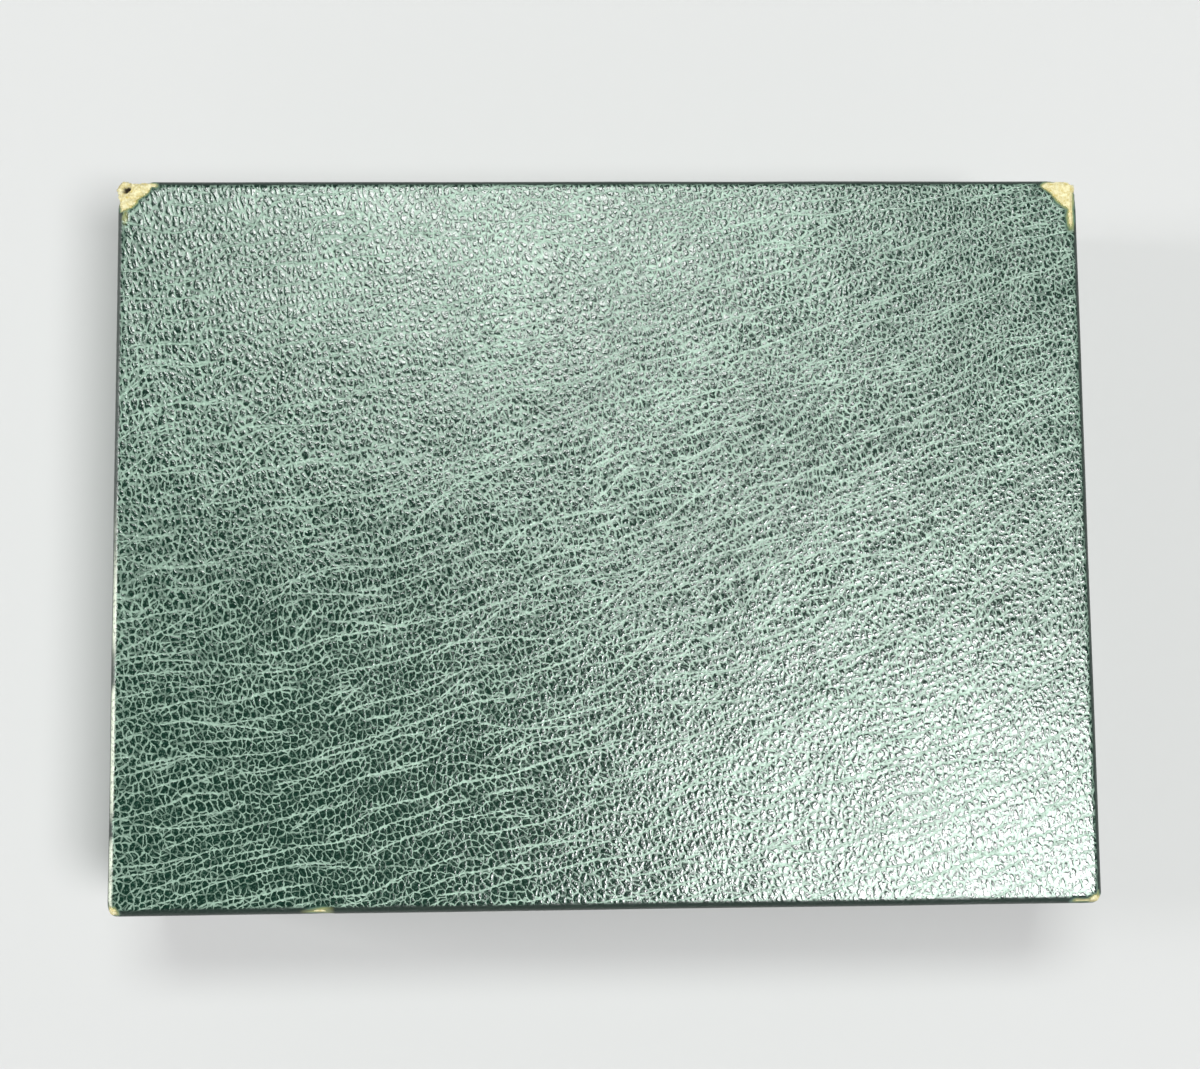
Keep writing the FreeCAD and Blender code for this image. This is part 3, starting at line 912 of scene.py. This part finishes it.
# ---------------------------------------------------------------- lid top board with its crushed corners
def make_lid_top_board():
    low, high = node_box("lid_top_board")
    half, _ = plan(low, high)
    radius = EDGE_R - 0.35
    xs = grid_lines(half[0], 0.16, 4.0, 6.4, 1.4)
    ys = grid_lines(half[1], 0.16, 4.0, 5.4, 1.4)
    thick = high[2] - low[2]
    s = Sweep(half, xs, ys)
    s.add_cap(thick, radius, 0)
    for h in rows_between(thick, 0, 0.16)[1:]:
        s.add_wall(h, thick, radius, 0)
    s.join_rows()
    s.faces.append(s.rows[-1][::-1])
    verts = np.array(s.verts)
    verts[:, 2] += low[2]
    normal = outward(verts, half, high[2], radius)
    wear = wear_depth(verts + normal * 0.35, HALF, LID_HIGH[2])
    bare = smooth(-0.10, 0.35, wear)
    tatty = smooth(0.4, 1.6, wear)
    fibres = ripple(verts * [1.0, 1.0, 2.2], 0.42, 7.7, 4)
    clumps = ripple(verts, 1.1, 2.9, 2)
    torn = (verts[:, 0] < 0) & (verts[:, 1] > 0)
    lift = bare * (0.20 + 0.10 * fibres + 0.08 * clumps)
    lift += torn * tatty * (0.06 + 0.30 * clumps + 0.24 * fibres)
    pit_at = np.array([-HALF[0] + 1.25, HALF[1] - 1.15])
    from_pit = verts[:, :2] - pit_at
    along, aside = from_pit @ np.array([0.6, 0.8]), from_pit @ np.array([0.8, -0.6])
    away = np.hypot(along * 0.80, aside * 1.20) + 0.26 * ripple(verts, 0.7, 5.5, 3)
    pit = smooth(0.72, 0.26, away) * (verts[:, 2] > high[2] - 1.0)
    from_notch = np.hypot(verts[:, 0] - (HALF[0] - 0.75), verts[:, 1] - (HALF[1] - 0.55))
    notch = smooth(0.34, 0.12, from_notch)
    lift -= 1.0 * pit + 0.25 * notch
    verts = verts + normal * lift[:, None]
    obj = mesh_object("lid_top_strawboard", verts, s.faces, None, (WORN,))
    # The pit and the notch are also painted dark in the board's colour, as shade.
    point_attribute(obj, "pit", np.maximum(pit, 0.7 * notch))
    return place(obj, "lid", "lid_top_board")


# ---------------------------------------------------------------- bands that run round the inside
LINING_T = 0.35


def band(name, half, centre, profile, corner_r, material, thickness, facing_in, wave=0.0, seed=1.0):
    """A strip round a rectangle, along (inset, height) points from its first edge to its last."""
    s = Sweep(half, *(grid_lines(side, 0.35, 2.2, 1.2, 1.5) for side in half))
    reach, last = 0.0, profile[0]
    for inset, height in profile:
        reach += math.hypot(inset - last[0], height - last[1])
        last = (inset, height)
        s.add_row(s.ring(inset, max(0.15, corner_r - inset)), height, -reach)
    s.join_rows(flip=facing_in)
    verts = np.array(s.verts)
    if wave:
        on_side = np.abs(verts[:, :2]) > np.array(half) - profile[0][0] - 0.6
        into = -np.sign(verts[:, :2]) * on_side
        verts[:, :2] += into * (wave * (0.5 + 0.5 * ripple(verts, 14.0, seed, 2)))[:, None]
    verts[:, :2] += centre
    obj = mesh_object(name, verts, s.faces, s.uv, (material,))
    thicken(obj, thickness)
    return obj


def quarter(inset, height, radius, rising=True):
    """Points of a quarter round from an upright face to a level one, or back down."""
    turn = np.linspace(0, math.pi / 2, 5)
    level = [radius * (1 - math.cos(a)) for a in turn]
    upright = [radius * (1 - math.sin(a)) for a in turn]
    if rising:
        return [(inset + a, height - b) for a, b in zip(level, upright)]
    return [(inset - b, height - a) for a, b in zip(level, upright)]


def make_shoulder():
    low, high = node_box("neck_facing")
    width, radius = 1.72, 0.45
    profile = [(0, z) for z in rows_between(low[2], high[2] - radius, 1.2)[:-1]]
    profile += quarter(0, high[2], radius) + quarter(width, high[2], radius, rising=False)
    half, _ = plan(low, high)
    obj = band("shoulder_paper", half, (0, 0), profile, 0.8, SHOULDER_PAPER, 0.14, False)
    return place(obj, "base", "neck_facing")


def make_well_lining(side):
    low, high = node_box(side + "_well_lining")
    half, centre = plan(low, high)
    profile = [(0, z) for z in rows_between(high[2], low[2], 1.6)]
    obj = band(side + "_well_velvet", half - LINING_T, centre, profile, 0.7, VELVET, 0.33, True,
               wave=0.10, seed=3.0 if side == "left" else 6.0)
    return place(obj, "base", side + "_well_lining")


def make_lid_lining():
    low, high = node_box("lid_side_lining")
    half, _ = plan(low, high)
    profile = [(0, z) for z in rows_between(high[2], low[2], 1.4)]
    obj = band("lid_side_paper", half - LINING_T, (0, 0), profile, 0.5, LID_PAPER, 0.33, True,
               wave=0.05)
    return place(obj, "lid", "lid_side_lining")


def make_divider_cap():
    low, high = node_box("divider_cap")
    radius, out = 0.55, 0.03
    across = [(low[0] - out, high[2] - 1.3), (low[0] - out, high[2] - 0.9)]
    across += [(x - out, z) for x, z in quarter(low[0], high[2], radius)]
    across += [(0.0, high[2] + 0.04)]
    across += [(-x, z) for x, z in across[-2::-1]]
    ys = rows_between(low[1] - 0.25, high[1] + 0.25, 2.0)
    run = run_along(across)
    verts = [(x, y, z) for y in ys for x, z in across]
    faces, uv = lattice(len(ys), len(across), lambda row, column: (run[column], ys[row]))
    obj = mesh_object("divider_cap_paper", verts, faces, uv, (SHOULDER_PAPER,))
    thicken(obj, 0.14)
    return place(obj, "base", "divider_cap")


def make_bottom_liner():
    low, high = node_box("bottom_liner")
    half, _ = plan(low, high)
    xs, ys = (grid_lines(side, 0.4, 3.0, 2.0, 1.5) for side in half)
    verts = np.array([(x, y, 0.0) for x in xs for y in ys])
    ragged = 0.07 * ripple(verts, 2.2, 5.0, 2)
    for k in (0, 1):
        at_end = np.abs(np.abs(verts[:, k]) - half[k]) < 0.01
        verts[:, k] -= np.sign(verts[:, k]) * at_end * np.abs(ragged)
    edge = (half - np.abs(verts[:, :2])).min(1)
    swell = 0.03 * (1 + ripple(verts, 17.0, 8.0, 2)) * smooth(0.5, 3, edge)
    verts[:, 2] = 0.10 * smooth(0.9, 0.0, edge) + swell
    faces = [face[::-1] for face in lattice(len(xs), len(ys))[0]]
    obj = mesh_object("bottom_paper", verts, faces, None, (GREEN_PAPER,))
    thicken(obj, 0.32)
    return place(obj, "base", "bottom_liner")


# ---------------------------------------------------------------- hinge strip
def make_hinge():
    low, high = node_box("hinge_strip")
    seam = (low[2] + high[2]) / 2
    half_x, back = high[0], high[1]
    split = 0.01
    below = [low[2], low[2] + 0.45]
    below += [seam - split - d for d in (5.0, 3.5, 2.2, 1.2, 0.6, 0.25, 0.0)]
    rows = below + [2 * seam - z for z in below[::-1]]
    xs = list(grid_lines(half_x, 0.4, 1.6, 1.2, 1.5))
    verts = np.array([(x, back, z) for z in rows for x in xs])
    at_end = smooth(0.9, 0.0, half_x - np.abs(verts[:, 0]))
    at_edge = smooth(0.7, 0.0, np.minimum(verts[:, 2] - low[2], high[2] - verts[:, 2]))
    verts[:, 1] -= 0.16 * np.maximum(at_end, at_edge)
    away = smooth(0.8, 2.5, np.abs(verts[:, 2] - seam))
    groove = 0.10 * smooth(1.4, 0.3, np.abs(verts[:, 2] - seam))
    verts[:, 1] += 0.04 * ripple(verts, 9.0, 2.2, 2) * away - groove
    ragged = 0.06 * ripple(verts, 1.8, 6.2, 2)
    verts[:, 2] += ragged * (np.abs(np.abs(verts[:, 2] - seam) - (high[2] - seam)) < 0.01)
    faces, uv = lattice(len(rows), len(xs), lambda row, column: (xs[column], rows[row]))
    obj = mesh_object("hinge_leatherette", verts, faces, flow(uv, 800.0), (LEATHER, BACKING))
    wear = smooth(2.0, 0.2, np.abs(verts[:, 2] - seam)) * (0.55 + 0.6 * ripple(verts, 3.0, 4.4, 2))
    point_attribute(obj, "rub", np.clip(wear, 0, 1))
    solid = thicken(obj, 0.30, rim_slot=1)
    bpy.context.view_layer.objects.active = obj
    with bpy.context.temp_override(object=obj, active_object=obj, selected_objects=[obj]):
        bpy.ops.object.modifier_apply(modifier=solid.name)
    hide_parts("hinge_strip")
    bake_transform(obj)
    return obj


# ---------------------------------------------------------------- wells: padded floors and lift ribbons
PAD_CROWN = 0.35


def pad_sag(x_share, y_share):
    """How far a well pad's top lies below its highest level, for positions of -1 to 1 across it."""
    return PAD_CROWN * np.maximum(np.abs(x_share) ** 4, np.abs(y_share) ** 4)


def make_well_pad(side):
    low, high = node_box(side + "_well_pad")
    half, centre = plan(low, high)
    thick = high[2] - low[2]
    radius = 0.7
    xs, ys = (grid_lines(side_half, 0.3, 2.0, 1.4, 1.4) for side_half in half)
    rows = [thick - d for d in (0.2, 0.4, 0.55, 0.7)] + rows_between(thick - 0.7, 0, 0.35)[1:]
    s = tray(half, xs, ys, thick, radius, rows)
    verts = np.array(s.verts)
    share = verts[:, :2] / half
    up = smooth(0, thick, verts[:, 2])
    verts[:, 2] -= pad_sag(share[:, 0], share[:, 1]) * up
    verts[:, 2] += 0.07 * ripple(verts, 11.0, 4.0 if side == "left" else 9.0, 2) * up
    under_ribbon = smooth(7.6, 5.4, np.abs(verts[:, 0])) * smooth(0, 1.0, up)
    verts[:, 2] -= 0.10 * under_ribbon
    verts[:, :2] += centre
    verts[:, 2] += low[2]
    obj = mesh_object(side + "_well_cushion", verts, s.faces, s.uv, (VELVET,))
    return place(obj, "base", side + "_well_pad")


def ribbon_path(side):
    """The ribbon's run as (y, z) points of its middle, from its tail behind the pad to its free end."""
    low, high = node_box(side + "_lift_ribbon")
    pad_low, pad_high = node_box(side + "_well_pad")
    half_t = 0.2
    back, front = high[1] - half_t, low[1] + half_t
    bend = 1.2
    points = [(back, z) for z in rows_between(low[2], pad_high[2] - 0.35, 0.5)]
    mid, span = (pad_high[1] + pad_low[1]) / 2, (pad_high[1] - pad_low[1]) / 2

    def on_pad(y):
        share = min(1.0, abs((y - mid) / span))
        return pad_high[2] - float(pad_sag(0.0, share)) + half_t + 0.02

    edge = on_pad(back - 0.4)
    points += [(back - 0.12, edge - 0.12), (back - 0.4, edge)]
    points += [(y, on_pad(y)) for y in rows_between(back - 0.9, front + bend, 1.2)]
    foot = on_pad(front + bend)
    for a in np.linspace(0, math.pi / 2, 8)[1:]:
        points.append((front + bend - bend * math.sin(a), foot + bend - bend * math.cos(a)))
    points += [(front, z) for z in rows_between(foot + bend, high[2], 0.7)[1:]]
    return points


def make_ribbon(side):
    low, high = node_box(side + "_lift_ribbon")
    sign = -1 if side == "left" else 1
    path = np.array(ribbon_path(side))
    width = high[0] - low[0]
    middle = (high[0] + low[0]) / 2
    count = 17
    run = run_along(path)
    tangent = np.gradient(path, axis=0)
    tangent /= np.linalg.norm(tangent, axis=1)[:, None]
    out = np.stack([tangent[:, 1], -tangent[:, 0]], 1)
    verts = []
    for k, (y, z) in enumerate(path):
        climbed = float(smooth(7.0, 16.0, z))
        lean = 0.55 * climbed ** 2
        for i in range(count):
            t = i / (count - 1) * 2 - 1
            x = middle + t * width / 2 + 0.35 * math.sin(run[k] / 23.0 + sign)
            curl = 0.07 * abs(t) ** 3 * (1 - climbed) + 0.16 * climbed * t * t
            slack = 0.16 * noise.noise(Vector((t * 0.9, run[k] / 13.0, sign * 4.0)))
            side_y, side_z = -out[k] * (curl + slack * (0.3 + climbed))
            verts.append((x, y + abs(side_y) * climbed + lean, z + abs(side_z) * (1 - climbed)))
    faces, uv = lattice(len(path), count,
                        lambda row, column: ((column / (count - 1) - 0.5) * width, run[row]))
    obj = mesh_object(side + "_ribbon", verts, faces, uv, (RIBBON_SATIN,))
    thicken(obj, 0.28).offset = 0
    return place(obj, "base", side + "_lift_ribbon")


# ---------------------------------------------------------------- satin pad in the lid
SIM_SCALE = 10.0  # the pad is simulated ten times as large, where cloth settings behave well
SATIN_FULLNESS = 0.035  # how much wider the satin is cut than the card it is pulled round
SIM_FRAMES = 26
PAD_BLOW = 0.9  # the room that the satin is blown up into
PAD_MOST = 2.2  # the furthest that any of it may move
GATHER_REACH = 13.0  # how far in from the edge the longest pucker runs


def settle_satin(verts, faces, pinned):
    """The satin blown up gently from behind while its turned-in edge is held, in millimetres."""
    mesh = bpy.data.meshes.new("satin_settling")
    mesh.from_pydata([tuple(v) for v in verts * MM * SIM_SCALE], [], faces)
    obj = bpy.data.objects.new("satin_settling", mesh)
    bpy.context.scene.collection.objects.link(obj)
    group = obj.vertex_groups.new(name="held")
    group.add([int(k) for k in np.nonzero(pinned)[0]], 1.0, "REPLACE")
    cloth = obj.modifiers.new("cloth", "CLOTH")
    settings = cloth.settings
    settings.quality = 6
    settings.mass = 0.15
    settings.tension_stiffness = settings.compression_stiffness = 18
    settings.shear_stiffness = 8
    settings.bending_stiffness = 0.12
    settings.air_damping = 3
    settings.shrink_min = -SATIN_FULLNESS
    settings.use_pressure = True
    settings.uniform_pressure_force = 2.2
    settings.vertex_group_mass = "held"
    settings.effector_weights.gravity = 0
    cloth.collision_settings.use_collision = False
    cloth.point_cache.frame_start, cloth.point_cache.frame_end = 1, SIM_FRAMES
    scene = bpy.context.scene
    for frame_number in range(1, SIM_FRAMES + 1):
        scene.frame_set(frame_number)
    settled = obj.evaluated_get(bpy.context.evaluated_depsgraph_get()).to_mesh()
    out = np.array([v.co for v in settled.vertices]) / SIM_SCALE / MM
    scene.frame_set(1)
    bpy.data.objects.remove(obj)
    return out


def make_satin_pad():
    low, high = node_box("lid_pad")
    half = plan(low, high)[0] - 0.9
    thick = high[2] - low[2]
    xs = np.array(rows_between(-half[0], half[0], 1.55))
    ys = np.array(rows_between(-half[1], half[1], 1.55))
    rows = [thick - d for d in (0.8, 1.6, 2.4)] + rows_between(thick - 2.4, 0, 0.95)[1:]
    s = tray(half, xs, ys, thick - PAD_BLOW, 2.4, [r * (thick - PAD_BLOW) / thick for r in rows])
    verts = np.array(s.verts)
    faces, uv = s.faces[:-1], s.uv[:-len(s.faces[-1])]
    start = gathers(verts, half, smooth(0, thick, verts[:, 2]))
    settled = settle_satin(start, faces, verts[:, 2] < 1.0)
    moved = settled - verts
    far = np.linalg.norm(moved, axis=1)
    verts = verts + moved * (np.minimum(far, PAD_MOST) / np.maximum(far, 1e-9))[:, None]
    verts[:, 2] = high[2] - np.clip(verts[:, 2], 0, thick + 0.25)
    flipped = [pair for _, loops in with_corners(faces, uv) for pair in loops[::-1]]
    obj = mesh_object("lid_satin_pad", verts, [f[::-1] for f in faces], flipped, (PAD_SATIN,))
    finer = obj.modifiers.new("finer", "SUBSURF")
    finer.levels = finer.render_levels = 2
    return place(obj, "lid", "lid_pad")


def gathers(verts, half, up):
    """Small puckers where the satin is pulled round the edge of its card."""
    random.seed(11)
    out = verts.copy()
    for axis in (0, 1):
        other = 1 - axis
        for side in (-1, 1):
            depth = half[axis] - side * verts[:, axis]
            near = smooth(GATHER_REACH, 1.0, depth)
            position = -half[other]
            while position < half[other]:
                position += random.uniform(3.2, 8.5)
                wide = random.uniform(0.7, 1.5)
                long = random.uniform(0.35, 1.0)
                tilt = random.uniform(-0.22, 0.22)
                centre = position + tilt * depth
                fold = np.exp(-((verts[:, other] - centre) / wide) ** 2)
                fade = smooth(GATHER_REACH * long, 2.0 * long, depth)
                out[:, 2] -= random.uniform(0.10, 0.30) * fold * near * fade * up
    return out


make_lid_cover()
make_base_cover()
make_lid_top_board()
make_shoulder()
make_divider_cap()
make_bottom_liner()
make_lid_lining()
for well in ("left", "right"):
    make_well_lining(well)
    make_well_pad(well)
    make_ribbon(well)
make_satin_pad()
make_hinge()

for node_name, node_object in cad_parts.items():
    if node_name.endswith("_board") or node_name == "center_divider":
        node_object.data.materials.clear()
        node_object.data.materials.append(BOARD)


# ---------------------------------------------------------------- camera, floor and light
def plain(name, colour, rough):
    """One even colour."""
    return Shader(name).finish(Base_Color=colour, Roughness=rough)


def add_floor():
    """A level floor that curves up into a plain backdrop all round."""
    level, curve, rise, around = 700.0, 500.0, 700.0, 64
    profile = [(r, 0.0) for r in (150.0, 350.0, level)]
    profile += [(level + curve * math.sin(a), curve * (1 - math.cos(a)))
                for a in np.linspace(0, math.pi / 2, 13)[1:]]
    profile += [(level + curve, curve + rise)]
    spokes = [(math.cos(2 * math.pi * k / around), math.sin(2 * math.pi * k / around))
              for k in range(around)]
    verts = [(r * x, r * y, z) for r, z in profile for x, y in spokes] + [(0.0, 0.0, 0.0)]
    pairs = [(k, (k + 1) % around) for k in range(around)]
    faces = [(len(verts) - 1, a, b) for a, b in pairs]
    for near in range(0, (len(profile) - 1) * around, around):
        far = near + around
        faces += [(near + a, far + a, far + b, near + b) for a, b in pairs]
    floor = mesh_object("floor", verts, faces, None, (plain("floor", (0.60, 0.60, 0.60), 0.9),))


def add_area(name, at, aim, size, radiance, tint, shape):
    """A soft light at a place, in metres, facing aim; radiance is how bright its face is."""
    light = bpy.data.lights.new(name, "AREA")
    light.shape = shape
    light.size = size[0]
    light.size_y = size[1]
    area = size[0] * size[1] * (math.pi / 4 if shape == "ELLIPSE" else 1)
    light.energy = radiance * math.pi * area
    light.color = tint
    obj = bpy.data.objects.new(name, light)
    obj.location = at
    obj.rotation_euler = (Vector(at) - Vector(aim)).to_track_quat("Z", "Y").to_euler()
    bpy.context.scene.collection.objects.link(obj)


def add_camera():
    camera = bpy.data.objects.new("camera", bpy.data.cameras.new("camera"))
    camera.data.lens = 54.0
    camera.data.sensor_width = 36.0
    camera.data.clip_start, camera.data.clip_end = 0.01, 20.0
    camera.location = mm(-8.35, -23.33, 272.51)
    camera.rotation_euler = [math.radians(a) for a in (5.643, -1.765, -0.603)]
    bpy.context.scene.collection.objects.link(camera)
    bpy.context.scene.camera = camera


def add_world():
    world = bpy.data.worlds.new("studio")
    world.use_nodes = True
    world.node_tree.nodes["Background"].inputs["Color"].default_value = (0.95, 0.98, 1.0, 1)
    world.node_tree.nodes["Background"].inputs["Strength"].default_value = 0.07
    bpy.context.scene.world = world


add_floor()
add_camera()
add_world()
add_area("key", (0.32, -0.18, 1.03), (0, 0, 0.03), (0.33, 0.36), 29.0, (1, 1, 1), "ELLIPSE")
add_area("top", (-0.02, 0.37, 1.03), (0, 0, 0.03), (0.46, 0.23), 17.5, (0.95, 1.0, 0.96), "ELLIPSE")
add_area("left_fill", (-0.75, 0.05, 0.42), (0, 0, 0.02), (0.14, 0.40), 15.0, (1, 1, 1), "RECTANGLE")
bpy.context.scene.view_settings.view_transform = "Standard"
